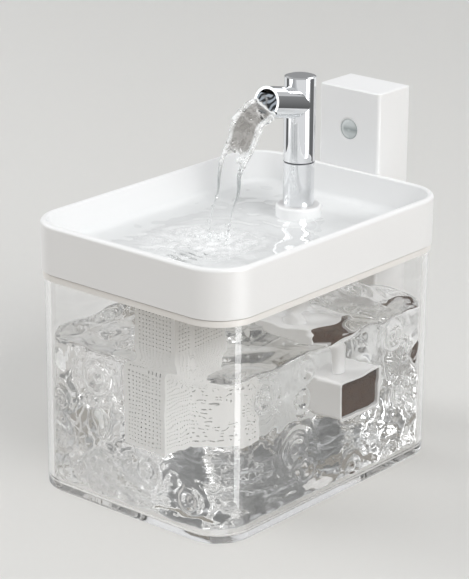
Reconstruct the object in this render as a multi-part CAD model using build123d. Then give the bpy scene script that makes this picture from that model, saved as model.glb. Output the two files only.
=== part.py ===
from build123d import *
import math
import os

# Pet water fountain: a clear tank, a drinking tray with a faucet over it, a filter basket and a
# pump that hang under the tray, and a battery tower behind the tank. Millimetres, +Z up, the
# faucet pours towards -Y. Everything is laid out about the tank's centre and moved at the end,
# so that the origin lies under the middle of the whole fountain.

# Clearances
glue_gap = 0.1        # between fixed pieces that are glued or pushed together
loose_gap = 0.3       # between pieces that come apart by hand
running_gap = 0.05    # radial, between a turning piece and its shaft or pin
swivel_gap = 0.1      # radial, between the swivel bush and its stem

# Drinking tray
tray_width = 162.0
tray_length = 220.0
tray_corner = 27.0
tray_height = 31.2
rim_wall = 4.0
rim_outer_round = 2.2
rim_inner_round = 1.2
basin_draft = 3.0     # degrees
basin_round = 8.0
tray_floor = 2.5
floor_lift = 0.5      # underside of the tray's floor above its skirt
rib_wall = 2.0
rib_depth = 4.5

# Tank
tank_inset = 2.2      # tank wall in from the tray's outside
tank_wall = 3.0
tank_floor = 3.5
tank_height = 140.8
tank_outer_round = 3.0
tank_inner_round = 4.0

# Feet
foot_height = 1.2
tank_foot_diameter = 12.0
tank_foot_inset = 16.0
tower_foot_diameter = 7.0
tower_foot_inset = 7.0

# Collar on the tank's rim, its magnets and the seal on it
collar_inset = 0.7
collar_overlap = 2.5
collar_top = 1.3
collar_lip = 1.5
seal_height = 0.6
seal_inset = 2.4
seal_width = 1.5
magnet_length = 12.0
magnet_thickness = 3.0
magnet_height = 3.0
magnet_spacing = 24.0
magnet_cover = 1.0

# Faucet
faucet_from_back = 52.8   # faucet's axis in front of the tray's back edge
faucet_diameter = 20.0
faucet_wall = 1.5
base_diameter = 29.0
base_height = 15.7
base_round = 1.5
sleeve_height = 28.2
sleeve_headroom = 2.0
water_bore = 6.5
gasket_height = 1.0
gasket_outer = 22.0
gasket_inner = 16.0
washer_height = 0.7
washer_inset = 0.6
head_height = 53.0
head_gap = 0.3
bush_length = 18.0
swivel_bore = 12.0
stem_above_bush = 8.0
ring_thickness = 0.9
ring_reach = 0.75
ring_split = 4.0
ring_groove_depth = 1.0
o_ring_section = 1.16
o_ring_bevel = 0.34
o_ring_proud = 0.04   # how far an O-ring stands out of its stem
o_ring_count = 2
o_ring_pitch = 6.0
o_ring_first = 6.5    # first O-ring above the head's lower edge
groove_slack = 0.02
spout_diameter = 19.8
spout_wall = 1.7
spout_reach = 33.1
spout_rise = 12.0     # degrees
spout_height = 37.1   # where the spout's axis meets the head's, above the head's lower edge
insert_wall = 1.5
insert_length = 12.0
insert_setback = 6.0
cap_rim_height = 1.4
cap_bevel_height = 0.6
cap_bevel_width = 1.6
cap_plug_height = 4.5
stem_diameter = 13.8
stem_length = 10.5
nipple_length = 12.0
nut_height = 6.0
nut_width = 21.0
nut_washer_height = 1.2
nut_washer_outer = 22.0
riser_outer = 12.7
riser_wall = 1.7
riser_length = 77.5
riser_end_gap = 0.2

# Filter basket and what it holds
basket_from_front = 55.0  # basket's centre behind the tray's front edge
basket_width = 33.0
basket_length = 46.0
basket_height = 105.2
basket_wall = 1.4
basket_socket_gap = 0.2
hole_size = 1.8
hole_pitch = 6.0
hole_margin = 3.0
spigot_wall = 1.5
spigot_depth = 10.0
filter_sponge_height = 14.0
carbon_height = 34.0
resin_height = 32.0
drain_slots = 6
drain_slot_width = 2.4
drain_slot_length = 20.0
drain_pitch = 6.0

# Pump
pump_depth = 47.0     # along X, open towards +X
pump_width = 42.0     # along Y
pump_height = 27.0
pump_wall = 1.5
pump_corner = 3.0
pump_setback = 6.8    # case centre behind the riser
spigot_length = 11.7
body_front_x = 5.0
chamber_diameter = 20.6
chamber_depth = 10.0
well_diameter = 11.4
well_depth = 14.0
cover_thickness = 2.0
cover_boss = 2.4
intake_radius = 6.5
spoke_width = 1.4
spoke_count = 3
shaft_diameter = 2.0
shaft_socket = 1.7
impeller_diameter = 17.2
impeller_disc = 1.6
impeller_end_gap = 0.6
blade_count = 6
blade_height = 5.2
blade_thickness = 1.1
hub_diameter = 5.2
sleeve_diameter = 6.0
rotor_gap = 0.5
rotor_length = 12.2
rotor_end_gap = 1.0
core_thickness = 10.0
core_leg = 3.2
core_yoke = 5.0
core_reach = 24.8
core_behind_axis = 18.8
well_wall = 1.2
core_well_gap = 0.4
winding_build = 2.2
winding_height = 11.8
receiver_length = 23.4
receiver_height = 20.6
receiver_ferrite_height = 1.0
receiver_coil_height = 1.8
receiver_coil_width = 4.0
receiver_cover = 1.4
sponge_length = 11.2

# Battery tower
tower_width = 48.5
tower_depth = 32.5
tower_height = 227.3
tower_wall = 2.2
tower_front_round = 2.5
tower_edge_round = 1.0
nest_side_gap = 0.4
back_cover_thickness = 2.4
back_cover_gap = 0.15
boss_diameter = 6.0
boss_side_gap = 0.45
boss_end_gap = 1.5
screw_diameter = 2.4
screw_length = 11.0
screw_head_diameter = 4.6
screw_head_height = 1.4
sensor_height = 200.1       # above the tower's underside
lens_diameter = 13.4
lens_dome = 0.45
lens_flange_width = 1.6
lens_flange_height = 1.2
lens_dish_diameter = 15.6
lens_dish_depth = 0.3
infrared_diameter = 9.2
infrared_height = 6.9
infrared_rim = 0.6
infrared_rim_height = 1.0
board_thickness = 1.6
board_front = 13.8          # sensor board behind the tower's front face
board_width = 42.0
board_height = 52.0
board_above_sensor = 12.0
board_boss_diameter = 4.6
board_boss_x = 17.0
board_boss_inset = 3.5
board_screw_diameter = 1.6
board_screw_length = 8.0
board_screw_head = 3.8
board_screw_head_height = 1.4
button_diameter = 9.4
button_travel = 0.8
button_dish_diameter = 15.0
button_dish_depth = 0.8
button_sink = 0.3
button_flange_width = 1.3
button_flange_height = 1.2
button_stem_diameter = 4.0
switch_size = 6.0
switch_height = 3.4
plunger_diameter = 3.4
plunger_height = 1.3
status_diameter = 2.4
status_below_button = 12.0
cell_diameter = 18.4
cell_length = 65.2
cell_gap = 0.8
holder_wall = 2.0
holder_above_coil = 0.4     # underside of the cell holder above the charging coil's ferrite
strip_thickness = 0.4
strip_width = 6.0
charge_board_level = 15.2   # underside of the charge board above the tower's underside
charge_board_depth = 24.0
ledge_width = 5.0
ledge_height = 2.0
usb_width = 9.0
usb_height = 3.2
usb_depth = 7.3
usb_shell = 0.35
usb_tongue = 0.7
usb_tongue_side_gap = 1.0
port_gap = 0.5
flap_width = 16.0
flap_height = 9.3
flap_thickness = 1.0
flap_below_port = 4.0       # flap pivot below the middle of the port
barrel_diameter = 1.2
flap_pin_diameter = 0.6
flap_pin_grip = 1.2
plug_depth = 0.8
plug_gap = 0.6
lead_diameter = 1.0
lead_edge = 1.1             # lead centre in from the board's side edge
transmitter_outer = 29.0
transmitter_inner = 15.0
transmitter_height = 1.8
ferrite_margin = 0.5
ferrite_height = 1.0

# Levels and planes that follow from the sizes above
faucet_y = tray_length / 2 - faucet_from_back
basket_y = basket_from_front - tray_length / 2
tank_bottom = foot_height
tank_rim = tank_bottom + tank_height
collar_bottom = tank_rim - collar_overlap
collar_face = tank_rim + glue_gap + collar_top
tray_bottom = collar_face + seal_height
tray_rim = tray_bottom + tray_height
floor_under = tray_bottom + floor_lift
basin_level = floor_under + tray_floor
nest_y = tray_length / 2 - tank_inset
tank_inner_inset = tank_inset + tank_wall
lug_back = tray_length / 2 - tank_inner_inset - glue_gap
lug_front = lug_back - magnet_thickness - 2 * magnet_cover
lug_half = magnet_spacing / 2 + magnet_length / 2 + magnet_cover
magnet_bottom = (collar_bottom + collar_face - magnet_height) / 2 - glue_gap

base_top = basin_level + base_height
sleeve_top = base_top + sleeve_height
head_bottom = sleeve_top + washer_height + head_gap
head_top = head_bottom + head_height
bush_top = head_bottom + bush_length
stem_radius = swivel_bore / 2 - swivel_gap
stem_top = bush_top + stem_above_bush
stem_bottom = floor_under - stem_length
head_bore = faucet_diameter / 2 - faucet_wall
riser_bore = riser_outer / 2 - riser_wall
riser_top = stem_bottom - riser_end_gap
riser_bottom = riser_top - riser_length
spout_axis = Plane(
    origin=(0, faucet_y, head_bottom + spout_height),
    z_dir=(0, -math.cos(math.radians(spout_rise)), math.sin(math.radians(spout_rise))),
)
spout_length = spout_reach / math.cos(math.radians(spout_rise))
spout_bore = spout_diameter / 2 - spout_wall

basket_top = floor_under - loose_gap
basket_bottom = basket_top - basket_height
cartridge_width = basket_width - 2 * basket_wall - 2 * loose_gap
cartridge_length = basket_length - 2 * basket_wall - 2 * loose_gap

pump_y = faucet_y + pump_setback
pump_top = riser_bottom - loose_gap
pump_z = pump_top - pump_height / 2
body_back_x = pump_wall + glue_gap - pump_depth / 2
case_inner_width = pump_width - 2 * pump_wall
case_inner_height = pump_height - 2 * pump_wall
chamber_back_x = body_front_x - chamber_depth
well_back_x = chamber_back_x - well_depth
cover_front_x = body_front_x + cover_thickness
sponge_back_x = cover_front_x + loose_gap

tower_front = nest_y + loose_gap
tower_back = tower_front + tower_depth
tower_bottom = foot_height
tower_top = tower_bottom + tower_height
tower_inner_front = tower_front + tower_wall
tower_inner_half = tower_width / 2 - tower_wall
cover_inner_y = tower_back - back_cover_thickness
sensor_z = tower_bottom + sensor_height
board_y = tower_front + board_front
board_back_y = board_y + board_thickness
board_top_z = sensor_z + board_above_sensor
board_bottom_z = board_top_z - board_height
button_front_y = tower_back - button_sink
button_flange_y = cover_inner_y - loose_gap - button_flange_height
plunger_end_y = board_back_y + switch_height + plunger_height
status_z = sensor_z - status_below_button
cell_y = (tower_inner_front + cover_inner_y) / 2
cell_x = (cell_diameter + cell_gap) / 2
holder_bottom = pump_z + transmitter_outer / 2 + ferrite_margin + holder_above_coil
cell_bottom_z = holder_bottom + holder_wall + 2 * glue_gap + strip_thickness
cell_top_z = cell_bottom_z + cell_length
charge_board_z = tower_bottom + charge_board_level
charge_board_top = charge_board_z + board_thickness
charge_board_back = cover_inner_y - loose_gap
usb_z = charge_board_top + usb_height / 2
usb_back_y = cover_inner_y - glue_gap
flap_y = tower_back - loose_gap + glue_gap - barrel_diameter / 2
flap_pivot_z = usb_z - flap_below_port
lead_x = board_width / 2 - lead_edge
lead_y = (board_y + board_back_y) / 2

centre_y = (tower_back - tray_length / 2) / 2


def block(x0, x1, y0, y1, z0, z1):
    box = Box(x1 - x0, y1 - y0, z1 - z0)
    return Pos((x0 + x1) / 2, (y0 + y1) / 2, (z0 + z1) / 2) * box


def rod(radius, x, y, z0, z1):
    return Pos(x, y, (z0 + z1) / 2) * Cylinder(radius, z1 - z0)


def rod_along_x(radius, y, z, x0, x1):
    return Pos((x0 + x1) / 2, y, z) * Rot(0, 90, 0) * Cylinder(radius, x1 - x0)


def rod_along_y(radius, x, z, y0, y1):
    return Pos(x, (y0 + y1) / 2, z) * Rot(90, 0, 0) * Cylinder(radius, y1 - y0)


def tube(outer, inner, x, y, z0, z1):
    return rod(outer, x, y, z0, z1) - rod(inner, x, y, z0, z1)


def footprint(inset):
    return RectangleRounded(tray_width - 2 * inset, tray_length - 2 * inset, tray_corner - inset)


def slab(inset, z0, z1):
    return Pos(0, 0, z0) * extrude(footprint(inset), z1 - z0)


def band(outer_inset, inner_inset, z0, z1):
    return slab(outer_inset, z0, z1) - slab(inner_inset, z0, z1)


def tower_nest(z0, z1):
    half = tower_width / 2 + nest_side_gap
    return block(-half, half, nest_y, tray_length / 2 + tank_inset, z0, z1)


def joined(pieces):
    return Compound(children=[piece.solid() for piece in pieces])


# Tank, collar, seal, feet


def tank():
    outer = slab(tank_inset, tank_bottom, tank_rim)
    outer = fillet(outer.edges().group_by(Axis.Z)[0], tank_outer_round)
    inner = slab(tank_inner_inset, tank_bottom + tank_floor, tank_rim + tank_wall)
    inner = fillet(inner.edges().group_by(Axis.Z)[0], tank_inner_round)
    return outer - inner


def tank_feet():
    x = tray_width / 2 - tank_inset - tank_foot_inset
    y = tray_length / 2 - tank_inset - tank_foot_inset
    places = [(sx * x, sy * y) for sx in (-1, 1) for sy in (-1, 1)]
    return joined(rod(tank_foot_diameter / 2, px, py, 0, foot_height) for px, py in places)


def magnet(side, front_y, bottom_z, gap=0.0):
    x = side * magnet_spacing / 2
    half = magnet_length / 2 + gap
    back_y = front_y + magnet_thickness
    top_z = bottom_z + magnet_height
    return block(x - half, x + half, front_y - gap, back_y + gap, bottom_z - gap, top_z + gap)


def tank_collar():
    body = slab(collar_inset, collar_bottom, collar_face)
    body += block(-lug_half, lug_half, lug_front, lug_back, collar_bottom, collar_face)
    opening = slab(tank_inner_inset + glue_gap + collar_lip, collar_bottom, collar_face)
    opening -= block(-lug_half, lug_half, lug_front, lug_back, collar_bottom, collar_face)
    body -= opening
    body -= band(tank_inset - glue_gap, tank_inner_inset + glue_gap, collar_bottom, tank_rim + glue_gap)
    for side in (-1, 1):
        body -= magnet(side, lug_front + magnet_cover, magnet_bottom, glue_gap)
    return body - tower_nest(collar_bottom, collar_face)


def collar_magnets():
    return joined(magnet(side, lug_front + magnet_cover, magnet_bottom) for side in (-1, 1))


def seal_ring():
    return band(seal_inset, seal_inset + seal_width, collar_face, tray_bottom)


# Drinking tray


def drinking_tray():
    body = slab(0, tray_bottom, tray_rim)
    mouth = Pos(0, 0, tray_rim) * footprint(rim_wall)
    basin = extrude(mouth, tray_rim - basin_level, dir=(0, 0, -1), taper=basin_draft)
    basin = fillet(basin.edges().group_by(Axis.Z)[0], basin_round)
    body -= basin
    rim = body.faces().sort_by(Axis.Z)[-1]
    body = fillet(rim.outer_wire().edges(), rim_outer_round)
    rim = body.faces().sort_by(Axis.Z)[-1]
    body = fillet(rim.inner_wires()[0].edges(), rim_inner_round)
    body -= slab(rim_wall, tray_bottom, floor_under)
    body += locating_rib()
    body += basket_spigot()
    body -= drain_cuts()
    body -= rod(stem_diameter / 2 + glue_gap, 0, faucet_y, floor_under, basin_level)
    return body - tower_nest(tray_bottom, tray_rim)


def locating_rib():
    inset = tank_inner_inset + glue_gap + collar_lip + loose_gap
    rib = band(inset, inset + rib_wall, floor_under - rib_depth, floor_under)
    half = lug_half + loose_gap
    return rib - block(-half, half, lug_front - loose_gap, tray_length / 2, tank_bottom, floor_under)


def basket_spigot():
    half_x = basket_width / 2 - basket_wall - basket_socket_gap
    half_y = basket_length / 2 - basket_wall - basket_socket_gap
    bottom = floor_under - spigot_depth
    outer = block(-half_x, half_x, basket_y - half_y, basket_y + half_y, bottom, floor_under)
    half_x -= spigot_wall
    half_y -= spigot_wall
    return outer - block(-half_x, half_x, basket_y - half_y, basket_y + half_y, bottom, floor_under)


def drain_cuts():
    outline = SlotOverall(drain_slot_length, drain_slot_width)
    slot = Pos(0, basket_y, floor_under) * extrude(outline, tray_floor)
    first = -(drain_slots - 1) * drain_pitch / 2
    return [Pos(0, first + index * drain_pitch, 0) * slot for index in range(drain_slots)]


# Faucet


def faucet_base():
    foot = rod(base_diameter / 2, 0, faucet_y, basin_level, base_top)
    foot = fillet(foot.edges().group_by(Axis.Z)[-1], base_round)
    foot += rod(head_bore - glue_gap, 0, faucet_y, base_top, sleeve_top - sleeve_headroom)
    foot += rod(stem_radius, 0, faucet_y, base_top, stem_top)
    foot += rod(stem_diameter / 2, 0, faucet_y, stem_bottom, basin_level)
    foot += rod(riser_bore - glue_gap, 0, faucet_y, stem_bottom - nipple_length, stem_bottom)
    foot -= rod(water_bore / 2, 0, faucet_y, stem_bottom - nipple_length, stem_top)
    groove_level = basin_level + gasket_height + groove_slack
    gasket_radii = (gasket_outer / 2 + glue_gap, gasket_inner / 2 - glue_gap)
    foot -= tube(*gasket_radii, 0, faucet_y, basin_level, groove_level)
    for level in o_ring_levels():
        half = o_ring_section / 2 + glue_gap
        foot -= tube(stem_radius, groove_radius(), 0, faucet_y, level - half, level + half)
    lower = bush_top + loose_gap - glue_gap
    upper = bush_top + loose_gap + ring_thickness + glue_gap
    return foot - tube(stem_radius, stem_radius - ring_groove_depth, 0, faucet_y, lower, upper)


def o_ring_levels():
    return [head_bottom + o_ring_first + index * o_ring_pitch for index in range(o_ring_count)]


def groove_radius():
    return stem_radius + o_ring_proud - o_ring_section - groove_slack


def stem_o_rings():
    inner = groove_radius() + groove_slack
    half = o_ring_section / 2
    rings = []
    for level in o_ring_levels():
        ring = tube(inner + o_ring_section, inner, 0, faucet_y, level - half, level + half)
        rings.append(chamfer(ring.edges().filter_by(GeomType.CIRCLE), o_ring_bevel))
    return joined(rings)


def retaining_ring():
    inner = stem_radius - ring_groove_depth + groove_slack
    outer = stem_radius + ring_reach
    level = bush_top + loose_gap
    ring = tube(outer, inner, 0, faucet_y, level, level + ring_thickness)
    half = ring_split / 2
    return ring - block(-half, half, faucet_y, faucet_y + faucet_diameter, level, level + ring_thickness)


def base_gasket():
    return tube(gasket_outer / 2, gasket_inner / 2, 0, faucet_y, basin_level, basin_level + gasket_height)


def nut_washer():
    inner = stem_diameter / 2 + loose_gap
    return tube(nut_washer_outer / 2, inner, 0, faucet_y, floor_under - nut_washer_height, floor_under)


def base_nut():
    top = floor_under - nut_washer_height
    hexagon = RegularPolygon(nut_width / 2, 6, major_radius=False)
    nut = Pos(0, faucet_y, top - nut_height) * extrude(hexagon, nut_height)
    return nut - rod(stem_diameter / 2 + glue_gap, 0, faucet_y, top - nut_height, top)


def lower_sleeve():
    return tube(faucet_diameter / 2, head_bore, 0, faucet_y, base_top, sleeve_top)


def swivel_washer():
    outer = faucet_diameter / 2 - washer_inset
    return tube(outer, stem_radius + loose_gap, 0, faucet_y, sleeve_top, sleeve_top + washer_height)


def riser_tube():
    return tube(riser_outer / 2, riser_bore, 0, faucet_y, riser_bottom, riser_top)


def along_spout(radius, start, end):
    return spout_axis * Pos(0, 0, (start + end) / 2) * Cylinder(radius, end - start)


def faucet_head():
    body = rod(faucet_diameter / 2, 0, faucet_y, head_bottom, head_top)
    body += along_spout(spout_diameter / 2, 0, spout_length)
    body -= rod(head_bore, 0, faucet_y, head_bottom, head_top)
    return body - along_spout(spout_bore, 0, spout_length)


def head_cap():
    radius = faucet_diameter / 2
    rim_top = head_top + cap_rim_height
    cap = rod(radius, 0, faucet_y, head_top, rim_top)
    bevel = Cone(radius, radius - cap_bevel_width, cap_bevel_height)
    cap += Pos(0, faucet_y, rim_top + cap_bevel_height / 2) * bevel
    return cap + rod(head_bore - glue_gap, 0, faucet_y, head_top - cap_plug_height, head_top)


def swivel_bush():
    return tube(head_bore - glue_gap, swivel_bore / 2, 0, faucet_y, head_bottom, bush_top)


def spout_insert():
    outer = spout_bore - glue_gap
    end = spout_length - insert_setback
    start = end - insert_length
    return along_spout(outer, start, end) - along_spout(outer - insert_wall, start, end)


# Filter basket


def hole_count(length):
    return int((length - 2 * hole_margin) / hole_pitch) + 1


def perforated(plane, width, height):
    face = Rectangle(width, height)
    counts = (hole_count(width), hole_count(height))
    face -= GridLocations(hole_pitch, hole_pitch, *counts) * Rectangle(hole_size, hole_size)
    return plane * extrude(face, basket_wall)


def filter_basket():
    middle = basket_bottom + basket_height / 2
    inner_x = basket_width / 2 - basket_wall
    inner_y = basket_length / 2 - basket_wall
    body = perforated(Plane(origin=(inner_x, basket_y, middle), x_dir=(0, 1, 0), z_dir=(1, 0, 0)),
                      basket_length, basket_height)
    body += perforated(Plane(origin=(-inner_x, basket_y, middle), x_dir=(0, 1, 0), z_dir=(-1, 0, 0)),
                       basket_length, basket_height)
    body += perforated(Plane(origin=(0, basket_y + inner_y, middle), x_dir=(1, 0, 0), z_dir=(0, 1, 0)),
                       2 * inner_x, basket_height)
    body += perforated(Plane(origin=(0, basket_y - inner_y, middle), x_dir=(1, 0, 0), z_dir=(0, -1, 0)),
                       2 * inner_x, basket_height)
    return body + perforated(Plane(origin=(0, basket_y, basket_bottom)), basket_width, basket_length)


def cartridge_layer(z0, z1):
    half_x = cartridge_width / 2
    half_y = cartridge_length / 2
    return block(-half_x, half_x, basket_y - half_y, basket_y + half_y, z0, z1)


def filter_layers():
    resin_bottom = basket_bottom + basket_wall
    carbon_bottom = resin_bottom + resin_height
    sponge_bottom = carbon_bottom + carbon_height
    return {
        "resin_pack": cartridge_layer(resin_bottom, carbon_bottom),
        "carbon_pack": cartridge_layer(carbon_bottom, sponge_bottom),
        "filter_sponge": cartridge_layer(sponge_bottom, sponge_bottom + filter_sponge_height),
    }


# Pump


def pump_prism(gap, x0, x1):
    width = case_inner_width - 2 * gap
    height = case_inner_height - 2 * gap
    corner = pump_corner - pump_wall - gap
    plane = Plane(origin=(x0, pump_y, pump_z), x_dir=(0, 1, 0), z_dir=(1, 0, 0))
    return plane * extrude(RectangleRounded(width, height, corner), x1 - x0)


def pump_case():
    half = pump_depth / 2
    body = pump_prism(-pump_wall, -half, half) - pump_prism(0, pump_wall - half, half)
    return body - rod(riser_bore, 0, faucet_y, pump_z, pump_top)


def pump_body():
    body = pump_prism(glue_gap, body_back_x, body_front_x)
    spigot_radius = riser_bore - glue_gap
    spigot_top = riser_bottom + spigot_length
    body += rod(spigot_radius, 0, faucet_y, pump_z, spigot_top)
    body -= rod_along_x(chamber_diameter / 2, faucet_y, pump_z, chamber_back_x, body_front_x)
    body -= rod_along_x(well_diameter / 2, faucet_y, pump_z, well_back_x, chamber_back_x)
    body -= rod(water_bore / 2, 0, faucet_y, pump_z, spigot_top)
    socket_radius = shaft_diameter / 2 + running_gap
    body -= rod_along_x(socket_radius, faucet_y, pump_z, well_back_x - shaft_socket, well_back_x)
    body -= core_shape(glue_gap)
    body -= winding_shape(glue_gap)
    return body - receiver_pocket()


def core_box():
    x0 = (well_back_x + chamber_back_x - core_thickness) / 2
    leg_z = well_diameter / 2 + well_wall + core_well_gap
    y1 = faucet_y + core_behind_axis
    return x0, x0 + core_thickness, y1 - core_reach, y1, leg_z


def core_shape(gap=0.0):
    x0, x1, y0, y1, leg_z = core_box()
    outer = leg_z + core_leg
    core = block(x0 - gap, x1 + gap, y0 - gap, y1 + gap, pump_z - outer - gap, pump_z + outer + gap)
    inner = leg_z - gap
    return core - block(x0 - gap, x1 + gap, y0 - gap, y1 - core_yoke - gap, pump_z - inner, pump_z + inner)


def stator_core():
    return core_shape()


def winding_shape(gap=0.0):
    x0, x1, _, y1, _ = core_box()
    reach = winding_build + glue_gap + gap
    half = winding_height / 2 + gap
    y0 = y1 - core_yoke
    return block(x0 - reach, x1 + reach, y0 - reach, y1 + reach, pump_z - half, pump_z + half)


def stator_winding():
    x0, x1, _, y1, _ = core_box()
    half = winding_height / 2
    y0 = y1 - core_yoke
    hole = block(x0 - glue_gap, x1 + glue_gap, y0 - glue_gap, y1 + glue_gap, pump_z - half, pump_z + half)
    return winding_shape() - hole


def receiver_planes():
    back = pump_y + case_inner_width / 2 - glue_gap - receiver_cover
    return back - receiver_coil_height - receiver_ferrite_height, back - receiver_coil_height, back


def receiver_plate(y0, y1, length, height):
    x = (body_back_x + body_front_x) / 2
    return block(x - length / 2, x + length / 2, y0, y1, pump_z - height / 2, pump_z + height / 2)


def receiver_pocket():
    y0, _, y2 = receiver_planes()
    length = receiver_length + 2 * glue_gap
    height = receiver_height + 2 * glue_gap
    return receiver_plate(y0 - glue_gap, y2 + glue_gap, length, height)


def receiver_ferrite():
    y0, y1, _ = receiver_planes()
    return receiver_plate(y0, y1, receiver_length, receiver_height)


def receiver_coil():
    _, y1, y2 = receiver_planes()
    narrow = 2 * receiver_coil_width
    coil = receiver_plate(y1, y2, receiver_length, receiver_height)
    return coil - receiver_plate(y1, y2, receiver_length - narrow, receiver_height - narrow)


def volute_cover():
    cover = pump_prism(glue_gap, body_front_x, cover_front_x)
    intake = rod_along_x(intake_radius, faucet_y, pump_z, body_front_x, cover_front_x)
    intake -= rod_along_x(cover_boss, faucet_y, pump_z, body_front_x, cover_front_x)
    spoke = block(body_front_x, cover_front_x, 0, intake_radius, -spoke_width / 2, spoke_width / 2)
    for index in range(spoke_count):
        intake -= Pos(0, faucet_y, pump_z) * Rot(index * 360 / spoke_count, 0, 0) * spoke
    cover -= intake
    socket_radius = shaft_diameter / 2 + running_gap
    return cover - rod_along_x(socket_radius, faucet_y, pump_z, body_front_x, body_front_x + shaft_socket)


def impeller_shaft():
    start = well_back_x - shaft_socket + glue_gap
    end = body_front_x + shaft_socket - glue_gap
    return rod_along_x(shaft_diameter / 2, faucet_y, pump_z, start, end)


def impeller():
    back = chamber_back_x + impeller_end_gap
    disc_front = back + impeller_disc
    front = disc_front + blade_height
    body = rod_along_x(impeller_diameter / 2, faucet_y, pump_z, back, disc_front)
    body += rod_along_x(hub_diameter / 2, faucet_y, pump_z, back, front)
    blade = block(disc_front - glue_gap, front, 0, impeller_diameter / 2 - blade_thickness / 2,
                  -blade_thickness / 2, blade_thickness / 2)
    for index in range(blade_count):
        body += Pos(0, faucet_y, pump_z) * Rot(index * 360 / blade_count, 0, 0) * blade
    body += rod_along_x(sleeve_diameter / 2, faucet_y, pump_z, well_back_x + rotor_end_gap, back)
    bore = shaft_diameter / 2 + running_gap
    return body - rod_along_x(bore, faucet_y, pump_z, well_back_x, front)


def rotor_magnet():
    outer = well_diameter / 2 - rotor_gap
    inner = sleeve_diameter / 2 + running_gap
    start = well_back_x + rotor_end_gap + glue_gap
    body = rod_along_x(outer, faucet_y, pump_z, start, start + rotor_length)
    return body - rod_along_x(inner, faucet_y, pump_z, start, start + rotor_length)


def intake_sponge():
    return pump_prism(loose_gap, sponge_back_x, sponge_back_x + sponge_length)


# Battery tower


def boss_places():
    x = tower_inner_half - boss_side_gap - boss_diameter / 2
    inset = tower_wall + boss_end_gap + boss_diameter / 2
    return [(sx * x, z) for sx in (-1, 1) for z in (tower_bottom + inset, tower_top - inset)]


def board_boss_places():
    levels = (board_bottom_z + board_boss_inset, board_top_z - board_boss_inset)
    return [(sx * board_boss_x, z) for sx in (-1, 1) for z in levels]


def tower_shell():
    half = tower_width / 2
    body = block(-half, half, tower_front, tower_back, tower_bottom, tower_top)
    corners = body.edges().filter_by(Axis.Z)
    body = fillet(corners.group_by(Axis.Y)[0], tower_front_round)
    rest = body.faces().sort_by(Axis.Z)[-1].edges() + body.faces().sort_by(Axis.Y)[-1].edges()
    body = fillet(rest, tower_edge_round)
    body -= block(-tower_inner_half, tower_inner_half, tower_inner_front, tower_back,
                  tower_bottom + tower_wall, tower_top - tower_wall)
    for x, z in boss_places():
        body += rod_along_y(boss_diameter / 2, x, z, tower_inner_front, cover_inner_y)
        pilot_end = tower_back - screw_length - 2 * glue_gap
        body -= rod_along_y(screw_diameter / 2 + running_gap, x, z, pilot_end, cover_inner_y)
    for x, z in board_boss_places():
        body += rod_along_y(board_boss_diameter / 2, x, z, tower_inner_front, board_y)
        pilot_end = board_back_y - board_screw_length - glue_gap
        body -= rod_along_y(board_screw_diameter / 2 + running_gap, x, z, pilot_end, board_y)
    for side in (-1, 1):
        inner = side * (tower_inner_half - ledge_width)
        x0, x1 = sorted((inner, side * tower_inner_half))
        front = charge_board_back - charge_board_depth
        back = cover_inner_y - glue_gap
        body += block(x0, x1, front, back, charge_board_z - ledge_height, charge_board_z)
    body -= rod_along_y(lens_diameter / 2 + glue_gap, 0, sensor_z, tower_front, tower_inner_front)
    return body - rod_along_y(lens_dish_diameter / 2, 0, sensor_z, tower_front, tower_front + lens_dish_depth)


def tower_feet():
    x = tower_width / 2 - tower_foot_inset
    near = tower_front + tower_foot_inset
    far = tower_back - tower_foot_inset
    places = [(side * x, y) for side in (-1, 1) for y in (near, far)]
    return joined(rod(tower_foot_diameter / 2, px, py, 0, foot_height) for px, py in places)


def tower_back_cover():
    half = tower_inner_half - back_cover_gap
    bottom = tower_bottom + tower_wall + back_cover_gap
    top = tower_top - tower_wall - back_cover_gap
    cover = block(-half, half, cover_inner_y, tower_back, bottom, top)
    for x, z in boss_places():
        head_seat = tower_back - screw_head_height - glue_gap
        cover -= rod_along_y(screw_diameter / 2 + glue_gap, x, z, cover_inner_y, tower_back)
        cover -= rod_along_y(screw_head_diameter / 2 + glue_gap, x, z, head_seat, tower_back)
    cover -= rod_along_y(button_dish_diameter / 2, 0, sensor_z, tower_back - button_dish_depth, tower_back)
    cover -= rod_along_y(button_diameter / 2 + loose_gap, 0, sensor_z, cover_inner_y, tower_back)
    cover -= rod_along_y(status_diameter / 2 + glue_gap, 0, status_z, cover_inner_y, tower_back)
    port_x = usb_width / 2 + port_gap
    port_z = usb_height / 2 + port_gap
    cover -= block(-port_x, port_x, cover_inner_y, tower_back, usb_z - port_z, usb_z + port_z)
    flap_x = flap_width / 2 + loose_gap
    pocket_front = flap_y - barrel_diameter / 2 - loose_gap
    pocket_top = flap_pivot_z + flap_height + loose_gap
    pocket_bottom = flap_pivot_z - barrel_diameter / 2 - loose_gap
    cover -= block(-flap_x, flap_x, pocket_front, tower_back, pocket_bottom, pocket_top)
    pin_half = flap_x + flap_pin_grip + glue_gap
    return cover - rod_along_x(flap_pin_diameter / 2 + running_gap, flap_y, flap_pivot_z, -pin_half, pin_half)


def cover_screws():
    return joined(cover_screw(x, z) for x, z in boss_places())


def cover_screw(x, z):
    head_seat = tower_back - screw_head_height
    shank = rod_along_y(screw_diameter / 2, x, z, tower_back - screw_length, head_seat)
    return shank + rod_along_y(screw_head_diameter / 2, x, z, head_seat, tower_back)


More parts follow.
